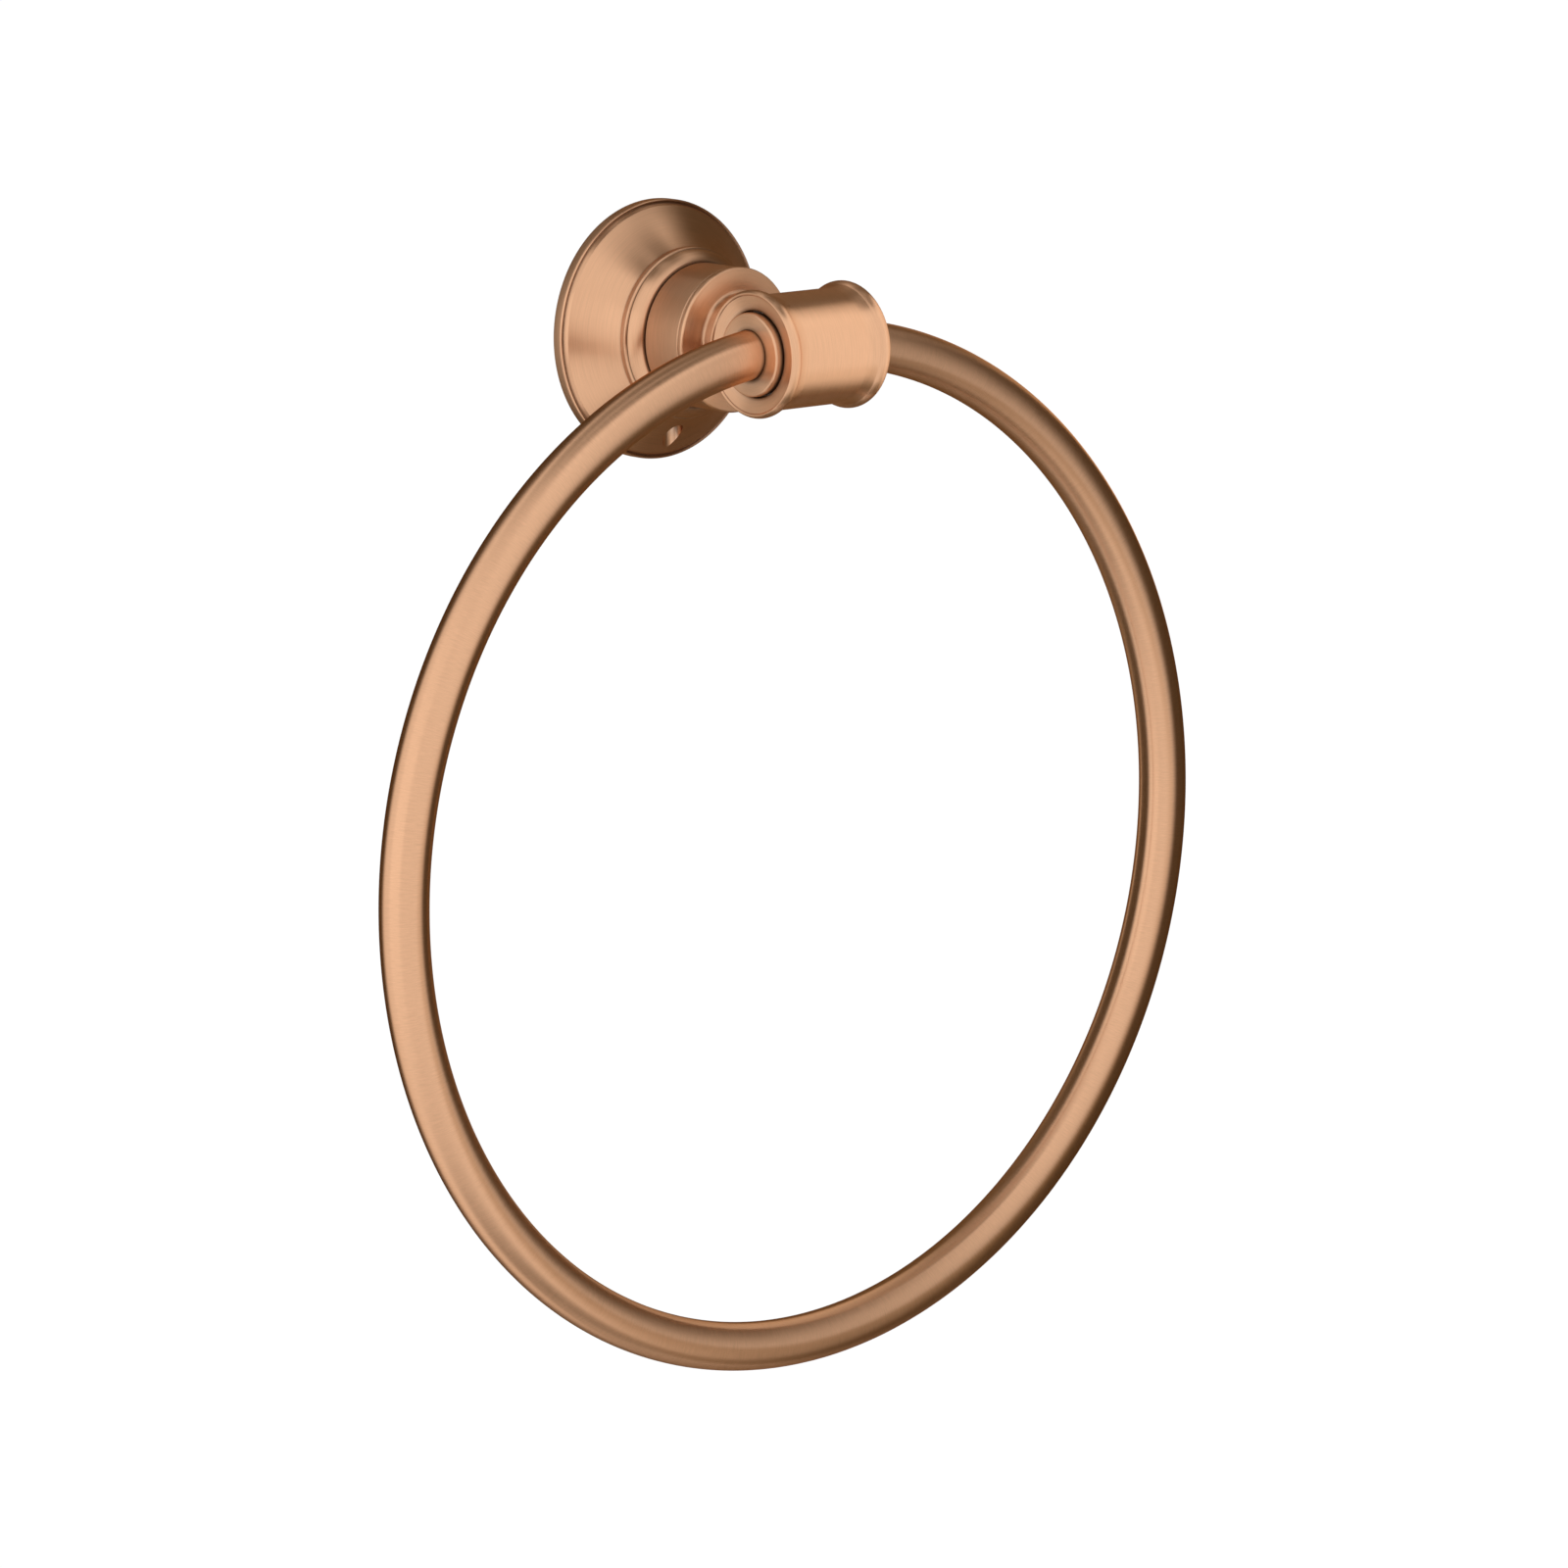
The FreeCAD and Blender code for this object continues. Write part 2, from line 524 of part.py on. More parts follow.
# One bolt with a socket head pulls flange, post, collar and barrel together from behind.
bolt = new_body("tie_bolt")
bodies.append(bolt)
BOLT_END = "- projection + bore_radius + bolt_tip_gap"
bolt_outline = outline(bolt, "bolt_outline", "XY_Plane", [
    ("", HEAD_BACK),
    ("bolt_head_radius - bolt_head_bevel", HEAD_BACK),
    ("bolt_head_radius", HEAD_BACK + " - bolt_head_bevel"),
    ("bolt_head_radius", HEAD_FRONT),
    ("bolt_radius", HEAD_FRONT),
    ("bolt_radius", BOLT_END + " + bolt_tip_bevel"),
    ("bolt_radius - bolt_tip_bevel", BOLT_END),
    ("", BOLT_END),
])
turn(bolt, "bolt_turned", bolt_outline, "V_Axis")
bolt_socket = new_sketch(bolt, "bolt_socket_outline", "XZ_Plane", opposite(HEAD_BACK))
hexagon(bolt_socket, "bolt_socket_flats", "bolt_socket_corner")
pocket(bolt, "bolt_socket", bolt_socket, "bolt_socket_depth", True)

washer = new_body("tie_bolt_washer")
bodies.append(washer)
washer_outline = outline(washer, "washer_outline", "XY_Plane", [
    ("bolt_radius + bolt_passage", WEB_BACK),
    ("bolt_radius + bolt_passage", HEAD_FRONT),
    ("washer_radius", HEAD_FRONT),
    ("washer_radius", WEB_BACK),
])
turn(washer, "washer_turned", washer_outline, "V_Axis")


def crosswise_body(name, about_z):
    """A body on the barrel's axis that faces right, or left after half a turn about z."""
    body = new_body(name)
    bodies.append(body)
    body.Placement = FreeCAD.Placement(
        FreeCAD.Vector(0, 0, 0), FreeCAD.Rotation(FreeCAD.Vector(0, 0, 1), about_z))
    body.setExpression("Placement.Base.y", "-sizes.projection")
    return body


def bearing_sleeve(name, about_z):
    """A plain bearing with a flange, pushed into one end of the barrel."""
    body = crosswise_body(name, about_z)
    sketch = outline(body, name + "_outline", "XY_Plane", [
        ("sleeve_reach", "journal_radius + running_fit"),
        (SLEEVE_FACE, "journal_radius + running_fit"),
        (SLEEVE_FACE, "sleeve_flange_radius"),
        (SLEEVE_SEAT, "sleeve_flange_radius"),
        (SLEEVE_SEAT, "bore_radius - sleeve_fit"),
        ("sleeve_reach", "bore_radius - sleeve_fit"),
    ])
    turn(body, name + "_turned", sketch, "H_Axis")


def journal(name, about_z):
    """A shouldered journal with a bore that follows the bend of the ring through it."""
    body = crosswise_body(name, about_z)
    sketch = outline(body, name + "_outline", "XY_Plane", [
        ("journal_reach", ""),
        ("journal_reach", "journal_radius - journal_bevel"),
        ("journal_reach + journal_bevel", "journal_radius"),
        (SHOULDER_BACK, "journal_radius"),
        (SHOULDER_BACK, "shoulder_radius"),
        ("shoulder_face - shoulder_round", "shoulder_radius", ARC, "shoulder_round", 1),
        ("shoulder_face", "shoulder_radius - shoulder_round"),
        ("shoulder_face", ""),
    ])
    turn(body, name + "_turned", sketch, "H_Axis")
    bore = new_sketch(body, name + "_bore_outline", "YZ_Plane")
    circle(bore, "", "ring_radius - ring_drop", "tube_radius + tube_fit", "bore")
    axis = add_axis(bore, ("", "- ring_drop"), ("tube_radius", "- ring_drop"))
    groove = turn(body, name + "_bore", bore, axis, "PartDesign::Groove")
    groove.Midplane = True
    groove.setExpression("Angle", "4 * asin(sizes.shoulder_face / sizes.ring_radius)")


bearing_sleeve("right_bearing_sleeve", 0)
bearing_sleeve("left_bearing_sleeve", 180)
journal("right_journal", 0)
journal("left_journal", 180)

# The ring is one bent tube, open at the top, with its two ends brazed into the journals.
ring = new_body("ring")
bodies.append(ring)
ring.setExpression("Placement.Base.y", "-sizes.projection")
tube = new_sketch(ring, "tube_outline", "YZ_Plane")
circle(tube, "", "- ring_radius - ring_drop", "tube_radius", "tube_outside")
circle(tube, "", "- ring_radius - ring_drop", "tube_radius - tube_wall", "tube_inside")
ring_axis = add_axis(tube, ("", "- ring_drop"), ("tube_radius", "- ring_drop"))
bent_tube = turn(ring, "bent_tube", tube, ring_axis)
bent_tube.Midplane = True
bent_tube.setExpression("Angle", "360 deg - 2 * asin(sizes.tube_end / sizes.ring_radius)")

doc.recompute()

for item in doc.Objects:
    if "Invalid" in item.State or "Error" in item.State:
        raise ValueError("%s did not recompute: %s" % (item.Label, item.State))
for body in bodies:
    if body.Shape.isNull() or not body.Shape.isValid() or len(body.Shape.Solids) != 1:
        raise ValueError("%s is not one sound solid" % body.Label)

os.makedirs("parts", exist_ok=True)
for body in bodies:
    body.Shape.exportStep("parts/%s.step" % body.Label)
    print("%s %.1f mm3" % (body.Label, body.Shape.Volume))
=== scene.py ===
import math

import bpy
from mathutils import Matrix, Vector


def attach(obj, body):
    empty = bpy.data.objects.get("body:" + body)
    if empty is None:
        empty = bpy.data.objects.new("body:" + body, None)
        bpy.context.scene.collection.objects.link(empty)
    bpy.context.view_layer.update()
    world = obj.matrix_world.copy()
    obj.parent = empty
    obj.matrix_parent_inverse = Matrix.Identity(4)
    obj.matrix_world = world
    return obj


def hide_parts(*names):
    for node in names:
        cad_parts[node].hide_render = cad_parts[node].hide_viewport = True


# The towel ring dressed for the picture. Sizes are in millimetres, and are turned into metres where
# a mesh or a lamp is made. The wall is the plane y = 0, the front faces -y and z points up.

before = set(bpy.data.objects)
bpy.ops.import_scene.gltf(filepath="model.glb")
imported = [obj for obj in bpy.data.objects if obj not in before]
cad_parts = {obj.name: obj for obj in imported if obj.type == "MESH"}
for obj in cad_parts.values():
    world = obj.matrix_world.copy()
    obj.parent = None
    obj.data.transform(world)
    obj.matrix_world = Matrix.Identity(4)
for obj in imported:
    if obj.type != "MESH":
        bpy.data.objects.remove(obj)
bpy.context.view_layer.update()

MM = 0.001
BASE = "base"
SWING = "swinging_ring"

# Sizes that several pieces share. Those along y are measured from the wall.
PROJECTION = 46.0
BOLT_HOLE = 3.2
SPIGOT_RADIUS = 8.9
SPIGOT_HOLE = 8.95
SPIGOT_BEVEL = 0.3
SPIGOT_SPACE = 0.2
FLANGE_SPIGOT = 17.2
FLANGE_FRONT = 14.9
POST_FRONT = 25.35
COLLAR_SPIGOT = 23.05
ORIGIN = (0.0, 0.0, 0.0)
BARREL_PLACE = (0.0, -PROJECTION, 0.0)

# Corners around a turned piece, around a drilled hole, and along and around the ring's tube
AROUND = 256
HOLE_AROUND = 48
RING_STEPS = 480
TUBE_SIDES = 64


# Outlines

def arc(start, end, radius, side, steps):
    """Points after start up to end on an arc that bulges left (1) or right (-1) of its chord."""
    (x0, y0), (x1, y1) = start, end
    dx, dy = x1 - x0, y1 - y0
    length = math.hypot(dx, dy)
    depth = math.sqrt(radius ** 2 - length ** 2 / 4) * side
    cx = (x0 + x1) / 2 + dy / length * depth
    cy = (y0 + y1) / 2 - dx / length * depth
    first = math.atan2(y0 - cy, x0 - cx)
    sweep = math.atan2(y1 - cy, x1 - cx) - first
    sweep = (sweep + math.pi) % (2 * math.pi) - math.pi
    points = []
    for step in range(1, steps + 1):
        angle = first + sweep * step / steps
        points.append((cx + radius * math.cos(angle), cy + radius * math.sin(angle)))
    return points


def soften(corner, before, after, size, steps=4):
    """A small round in place of a corner, with its ends at the given size along both sides."""
    (x, y) = corner
    ends = []
    for (ox, oy) in (before, after):
        length = math.hypot(ox - x, oy - y)
        reach = min(size, length * 0.45)
        ends.append((x + (ox - x) / length * reach, y + (oy - y) / length * reach))
    points = []
    for step in range(steps + 1):
        t = step / steps
        a, b, c = (1 - t) ** 2, 2 * t * (1 - t), t ** 2
        points.append((a * ends[0][0] + b * x + c * ends[1][0],
                       a * ends[0][1] + b * y + c * ends[1][1]))
    return points


def outline(corners):
    """Turns the corners of a closed outline into points. A corner is (x, y), then perhaps the size of
    its softening or None, then perhaps an arc to the next corner as (radius, side, steps)."""
    legs = []
    for corner, following in zip(corners, corners[1:] + corners[:1]):
        start, end = corner[:2], following[:2]
        if len(corner) > 3:
            legs.append([start] + arc(start, end, *corner[3]))
        else:
            legs.append([start, end])
    points = []
    for i, corner in enumerate(corners):
        size = corner[2] if len(corner) > 2 else None
        if size:
            points += soften(corner[:2], legs[i - 1][-2], legs[i][1], size)
        else:
            points.append(corner[:2])
        points += legs[i][1:-1]
    return points


# Meshes

def bare_object(name, verts, faces, uvs):
    """An object in the scene whose faces carry the texture coordinates "around"."""
    mesh = bpy.data.meshes.new(name)
    mesh.from_pydata(verts, [], faces)
    layer = mesh.uv_layers.new(name="around")
    layer.data.foreach_set("uv", [value for uv in uvs for value in uv])
    mesh.update()
    obj = bpy.data.objects.new(name, mesh)
    bpy.context.scene.collection.objects.link(obj)
    return obj


def cut(obj, cutter):
    """Takes the cutter's solid out of the object and removes the cutter."""
    change = obj.modifiers.new("cut", "BOOLEAN")
    change.operation = "DIFFERENCE"
    change.solver = "EXACT"
    change.object = cutter
    bpy.context.view_layer.update()
    changed = obj.evaluated_get(bpy.context.evaluated_depsgraph_get())
    obj.modifiers.remove(change)
    whole = obj.data
    obj.data = bpy.data.meshes.new_from_object(changed)
    bpy.data.meshes.remove(whole)
    bpy.data.objects.remove(cutter)


def bronze_piece(name, node, body, verts, faces, uvs, sharp=40, cutter=None):
    """A bronze piece that rides on a body in place of a node of the CAD."""
    obj = bare_object(name, verts, faces, uvs)
    if cutter:
        cut(obj, cutter)
    mesh = obj.data
    mesh.name = name
    mesh.shade_smooth()
    mesh.set_sharp_from_angle(angle=math.radians(sharp))
    mesh.validate()
    mesh.update()
    mesh.materials.clear()
    mesh.materials.append(bronze)
    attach(obj, body)
    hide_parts(node)


def side_out(verts, faces, uvs):
    """Turns the faces so that the solid's outside is outside."""
    volume = 0.0
    for face in faces:
        a, b, c, d = (Vector(verts[corner]) for corner in face)
        volume += a.dot(b.cross(c)) + a.dot(c.cross(d))
    if volume < 0:
        faces = [face[::-1] for face in faces]
        for n in range(len(faces)):
            uvs[4 * n:4 * n + 4] = uvs[4 * n:4 * n + 4][::-1]
    return verts, faces, uvs


def turned(points, along, place, around=AROUND, shape=None):
    """Points (radius, along) of a closed outline turned about the axis "x", "y" or "z".

    Gives vertices in metres, faces, and each corner's place around and along the outline.
    """
    lengths = [0.0]
    for (r0, t0), (r1, t1) in zip(points, points[1:] + points[:1]):
        lengths.append(lengths[-1] + math.hypot(r1 - r0, t1 - t0))
    verts = []
    for j in range(around):
        angle = 2 * math.pi * j / around
        for r, t in points:
            if along == "y":
                p = [r * math.cos(angle), t, r * math.sin(angle)]
            elif along == "z":
                p = [r * math.cos(angle), -r * math.sin(angle), t]
            else:
                p = [t, r * math.sin(angle), r * math.cos(angle)]
            if shape:
                p = shape(p)
            verts.append(tuple((p[k] + place[k]) * MM for k in range(3)))
    faces, uvs = [], []
    n = len(points)
    for j in range(around):
        k = (j + 1) % around
        for i in range(n):
            m = (i + 1) % n
            if points[i][0] < 1e-6 and points[m][0] < 1e-6:
                continue
            faces.append([j * n + i, j * n + m, k * n + m, k * n + i])
            uvs += [(j / around, lengths[i] * MM), (j / around, lengths[i + 1] * MM),
                    ((j + 1) / around, lengths[i + 1] * MM), ((j + 1) / around, lengths[i] * MM)]
    return side_out(verts, faces, uvs)


def turned_piece(name, node, body, corners, along, place, shape=None, cutter=None):
    """A bronze piece turned from the corners of a closed outline."""
    bronze_piece(name, node, body, *turned(outline(corners), along, place, shape=shape), cutter=cutter)


def round_cutter(radius, low, high, place):
    """An upright round rod that is taken out of a piece."""
    rod = [(0.0, low), (radius, low), (radius, high), (0.0, high)]
    return bare_object("cutter", *turned(rod, "z", place, HOLE_AROUND))


# Nodes of the materials

def math_on(tree, kind, *values):
    """A math node whose inputs are numbers or sockets."""
    node = tree.nodes.new("ShaderNodeMath")
    node.operation = kind
    for socket, value in zip(node.inputs, values):
        if isinstance(value, float):
            socket.default_value = value
        else:
            tree.links.new(value, socket)
    return node.outputs[0]


def range_on(tree, value, low, high, start=0.0, end=1.0):
    """Maps the stretch from start to end of a value to the one from low to high."""
    node = tree.nodes.new("ShaderNodeMapRange")
    node.inputs["From Min"].default_value = start
    node.inputs["From Max"].default_value = end
    node.inputs["To Min"].default_value = low
    node.inputs["To Max"].default_value = high
    tree.links.new(value, node.inputs["Value"])
    return node.outputs[0]


def noise_on(tree, vector, scale, detail, roughness=0.5):
    node = tree.nodes.new("ShaderNodeTexNoise")
    node.inputs["Scale"].default_value = scale
    node.inputs["Detail"].default_value = detail
    node.inputs["Roughness"].default_value = roughness
    tree.links.new(vector, node.inputs["Vector"])
    return node.outputs["Fac"]


def object_place(tree):
    return tree.nodes.new("ShaderNodeTexCoord").outputs["Object"]


def map_place(tree, name):
    """The two coordinates of a texture map, as sockets."""
    place = tree.nodes.new("ShaderNodeUVMap")
    place.uv_map = name
    split = tree.nodes.new("ShaderNodeSeparateXYZ")
    tree.links.new(place.outputs[0], split.inputs[0])
    return split.outputs[0], split.outputs[1]


def tone_on(tree, colour, factor):
    """A colour made darker or lighter by a factor."""
    node = tree.nodes.new("ShaderNodeVectorMath")
    node.operation = "SCALE"
    node.inputs[0].default_value = colour
    tree.links.new(factor, node.inputs["Scale"])
    return node.outputs[0]


def relief_on(tree, shader, height, strength, depth):
    """Fine relief on the shader, with its depth in millimetres."""
    node = tree.nodes.new("ShaderNodeBump")
    node.inputs["Strength"].default_value = strength
    node.inputs["Distance"].default_value = depth * MM
    tree.links.new(height, node.inputs["Height"])
    tree.links.new(node.outputs[0], shader.inputs["Normal"])


def new_material(name):
    material = bpy.data.materials.new(name)
    material.use_nodes = True
    return material, material.node_tree, material.node_tree.nodes["Principled BSDF"]


# Materials

BRONZE = (0.80, 0.462, 0.277)
BRONZE_EDGE = (0.80, 0.50, 0.30)
# Tones of painted shade for recesses and for creases
BRONZE_PAINTED_SHADE = (0.60, 0.43, 0.31)
BRONZE_PAINTED_CREASE_SHADE = (0.20, 0.105, 0.055)
BRONZE_ROUGHNESS = 0.33
# Painted shade: a tone, how far it reaches in millimetres, and how open a place is where it starts and where
# it ends. The wide one dulls and darkens the colour in recesses, and the narrow one paints dark lines into
# creases.
PAINTED_SHADES = ((BRONZE_PAINTED_SHADE, 7.0, 0.25, 0.85), (BRONZE_PAINTED_CREASE_SHADE, 1.3, 0.45, 0.86))
BRUSHING = 0.9
QUARTER_TURN = 0.25
MARKS_AROUND = 2.2
MARKS_ALONG = 2100.0
MARK_DETAIL = 6.0
MARK_HARDNESS = 0.62
MARK_CONTRAST = 0.11
MARK_DEPTH = 0.015
CLOUD_SCALE = 55.0
CLOUD_DETAIL = 3.0


def brushed_bronze():
    """Bronze with brush marks that run around each piece, and painted shade that makes its colour darker in
    recesses and creases.
    """
    material, tree, shader = new_material("brushed_bronze")
    shader.inputs["Metallic"].default_value = 1.0
    shader.inputs["Anisotropic"].default_value = BRUSHING
    shader.inputs["Anisotropic Rotation"].default_value = QUARTER_TURN
    shader.inputs["Specular Tint"].default_value = (*BRONZE_EDGE, 1.0)

    around, along = map_place(tree, "around")
    angle = math_on(tree, "MULTIPLY", around, 2 * math.pi)
    joined = tree.nodes.new("ShaderNodeCombineXYZ")
    tree.links.new(math_on(tree, "COSINE", angle), joined.inputs[0])
    tree.links.new(math_on(tree, "SINE", angle), joined.inputs[1])
    tree.links.new(math_on(tree, "MULTIPLY", along, MARKS_ALONG), joined.inputs[2])
    marks = noise_on(tree, joined.outputs[0], MARKS_AROUND, MARK_DETAIL, MARK_HARDNESS)
    cloud = noise_on(tree, object_place(tree), CLOUD_SCALE, CLOUD_DETAIL)

    contrast = range_on(tree, marks, 1.0 - MARK_CONTRAST, 1.0 + MARK_CONTRAST * 0.6, 0.25, 0.75)
    toned = tone_on(tree, BRONZE, contrast)
    # Painted shade: ambient occlusion mixes a darker tone into the colour in recesses and creases.
    for tone, reach, closed, clear in PAINTED_SHADES:
        shade_occlusion = tree.nodes.new("ShaderNodeAmbientOcclusion")
        shade_occlusion.samples = 8
        shade_occlusion.inputs["Distance"].default_value = reach * MM
        mix = tree.nodes.new("ShaderNodeMix")
        mix.data_type = "RGBA"
        mix.inputs["A"].default_value = (*tone, 1.0)
        tree.links.new(range_on(tree, shade_occlusion.outputs["AO"], 0.0, 1.0, closed, clear), mix.inputs["Factor"])
        tree.links.new(toned, mix.inputs["B"])
        toned = mix.outputs["Result"]
    tree.links.new(toned, shader.inputs["Base Color"])

    mixed = math_on(tree, "ADD", math_on(tree, "MULTIPLY", marks, 0.6), math_on(tree, "MULTIPLY", cloud, 0.4))
    gloss = range_on(tree, mixed, BRONZE_ROUGHNESS * 0.85, BRONZE_ROUGHNESS * 1.15, 0.2, 0.8)
    tree.links.new(gloss, shader.inputs["Roughness"])

    tangent = tree.nodes.new("ShaderNodeTangent")
    tangent.direction_type = "UV_MAP"
    tangent.uv_map = "around"
    tree.links.new(tangent.outputs[0], shader.inputs["Tangent"])
    relief_on(tree, shader, marks, 0.35, MARK_DEPTH)
    return material


STEEL = (0.62, 0.63, 0.64)
STEEL_ROUGHNESS = 0.36


def plated_steel():
    """Zinc-plated steel: a faint cloudy sheen over fine grain, with no direction."""
    material, tree, shader = new_material("plated_steel")
    shader.inputs["Metallic"].default_value = 1.0
    place = object_place(tree)
    cloud = noise_on(tree, place, 60.0, 4.0)
    grain = noise_on(tree, place, 1800.0, 3.0)
    tree.links.new(tone_on(tree, STEEL, range_on(tree, cloud, 0.88, 1.06)), shader.inputs["Base Color"])
    gloss = range_on(tree, cloud, STEEL_ROUGHNESS - 0.08, STEEL_ROUGHNESS + 0.08)
    tree.links.new(gloss, shader.inputs["Roughness"])
    relief_on(tree, shader, grain, 0.25, 0.01)
    return material


NYLON = (0.82, 0.80, 0.74)
NYLON_ROUGHNESS = 0.5


def bearing_nylon():
    """Pale moulded nylon with a fine grain."""
    material, tree, shader = new_material("bearing_nylon")
    grain = noise_on(tree, object_place(tree), 900.0, 3.0)
    shader.inputs["Base Color"].default_value = (*NYLON, 1.0)
    gloss = range_on(tree, grain, NYLON_ROUGHNESS - 0.08, NYLON_ROUGHNESS + 0.08)
    tree.links.new(gloss, shader.inputs["Roughness"])
    relief_on(tree, shader, grain, 0.2, 0.02)
    return material


bronze = brushed_bronze()
steel = plated_steel()
nylon = bearing_nylon()


# Flange, turned about y. Corners are (radius, y). A bevelled rim, a narrow groove, a hollow cone, a
# moulding with a fine groove, and the spigot for the post. Behind are the hollows for the wall plate
# and its boss, and the hole at six o'clock is the grub screw's.

RIM_RADIUS = 26.85
RIM_BEVEL = 0.55
RIM_DEPTH = 2.45
PLATE_RECESS = 22.3
PLATE_DEPTH = 3.2
BOSS_HOLLOW = 11.05
BOSS_DEPTH = 11.0
CONE_RADIUS = 25.55
CONE_START = 3.56
CONE_HOLLOW = 27.5
MOULDING_RADIUS = 17.8
MOULDING_START = 10.9
MOULDING_ROUND = 3.2
GRUB_HOLE = 2.05
GRUB_FROM_WALL = 6.5
GRUB_HOLE_LOW = -30.0
GRUB_HOLE_HIGH = -8.0

turned_piece("flange_bell", "flange", BASE, [
    (BOLT_HOLE, -BOSS_DEPTH, 0.1),
    (BOSS_HOLLOW, -BOSS_DEPTH, 0.2),
    (BOSS_HOLLOW, -PLATE_DEPTH, 0.2),
    (PLATE_RECESS, -PLATE_DEPTH, 0.2),
    (PLATE_RECESS, 0.0, 0.15),
    (RIM_RADIUS - RIM_BEVEL, 0.0, 0.15),
    (RIM_RADIUS, -RIM_BEVEL, 0.2),
    (RIM_RADIUS, -RIM_DEPTH, None, (0.45, 1, 6)),
    (RIM_RADIUS - 0.3, -RIM_DEPTH - 0.4, 0.04),
    (RIM_RADIUS - 0.75, -RIM_DEPTH - 0.05, 0.08),
    (CONE_RADIUS, -CONE_START, 0.1, (CONE_HOLLOW, -1, 24)),
    (MOULDING_RADIUS - 0.35, -MOULDING_START, 0.15),
    (MOULDING_RADIUS, -MOULDING_START, 0.1),
    (MOULDING_RADIUS, -MOULDING_START - 1.05, None, (0.35, 1, 6)),
    (MOULDING_RADIUS - 0.3, -MOULDING_START - 1.4, 0.06),
    (MOULDING_RADIUS - 0.65, -MOULDING_START - 1.52, 0.05),
    (MOULDING_RADIUS - 0.44, -MOULDING_START - 1.72, 0.06, (MOULDING_ROUND, 1, 10)),
    (MOULDING_RADIUS - 1.2, -MOULDING_START - 3.0, 0.15, (MOULDING_ROUND, 1, 8)),
    (MOULDING_RADIUS - 2.5, -FLANGE_FRONT, 0.15),
    (SPIGOT_RADIUS, -FLANGE_FRONT),
    (SPIGOT_RADIUS, -FLANGE_SPIGOT + SPIGOT_BEVEL),
    (SPIGOT_RADIUS - SPIGOT_BEVEL, -FLANGE_SPIGOT),
    (BOLT_HOLE, -FLANGE_SPIGOT, 0.1),
], "y", ORIGIN, cutter=round_cutter(GRUB_HOLE, GRUB_HOLE_LOW, GRUB_HOLE_HIGH, (0.0, -GRUB_FROM_WALL, 0.0)))


# Post, turned about y: a bevelled cylinder that is open at both ends for the spigots, with a web
# between them.

POST_RADIUS = 14.8
POST_BEVEL = 0.35

turned_piece("post_body", "post", BASE, [
    (SPIGOT_HOLE, -FLANGE_FRONT),
    (POST_RADIUS - POST_BEVEL, -FLANGE_FRONT, 0.1),
    (POST_RADIUS, -FLANGE_FRONT - POST_BEVEL, 0.12),
    (POST_RADIUS, -POST_FRONT + POST_BEVEL, 0.12),
    (POST_RADIUS - POST_BEVEL, -POST_FRONT, 0.1),
    (SPIGOT_HOLE, -POST_FRONT),
    (SPIGOT_HOLE, -COLLAR_SPIGOT + SPIGOT_SPACE),
    (BOLT_HOLE, -COLLAR_SPIGOT + SPIGOT_SPACE),
    (BOLT_HOLE, -FLANGE_SPIGOT - SPIGOT_SPACE),
    (SPIGOT_HOLE, -FLANGE_SPIGOT - SPIGOT_SPACE),
], "y", ORIGIN)


# Barrel's sizes, measured along x from its middle

WAIST_RADIUS = 11.75
WAIST_HALF = 8.0
CREASE_RADIUS = 12.35
CREASE_AT = 10.6
FLARE_ROUND = 9.0
END_RADIUS = 12.4
BARREL_HALF = 13.3
END_FACE_RADIUS = 11.9
END_FACE_AT = 12.9
MOUTH_AT = 12.15
SLEEVE_HOLE = 8.0
SLEEVE_FLANGE_HOLE = 8.8
SLEEVE_FLANGE_SEAT = 10.5


def barrel_radius_at(x):
    """Outside radius of the barrel at x from its middle, as far as its crease."""
    x = abs(x)
    waist_end = (WAIST_HALF, WAIST_RADIUS)
    side = [(0.0, WAIST_RADIUS), waist_end] + arc(waist_end, (CREASE_AT, CREASE_RADIUS), FLARE_ROUND, -1, 16)
    for (x0, r0), (x1, r1) in zip(side, side[1:]):
        if x <= x1:
            return r0 + (r1 - r0) * (x - x0) / (x1 - x0)
    return CREASE_RADIUS


# Collar, turned about y: a spigot, a thin disc with a round edge, and the neck whose end is laid
# against the barrel.

COLLAR_RADIUS = 14.9
COLLAR_BEVEL = 0.2
COLLAR_EDGE = 26.1
COLLAR_ROUND = 0.6
COLLAR_DOME = 12.0
NECK_RADIUS = 9.6
NECK_START = 27.0
NECK_FILLET = 0.8
NECK_END = 37.0
SADDLE_DEPTH = 0.15


def saddle(p):
    """Moves the corners of the neck's end a little into the barrel's waist."""
    if p[1] > -NECK_END:
        return p
    reach = math.sqrt(max(barrel_radius_at(p[0]) ** 2 - p[2] ** 2, 0.0))
    return [p[0], -PROJECTION + reach - SADDLE_DEPTH, p[2]]


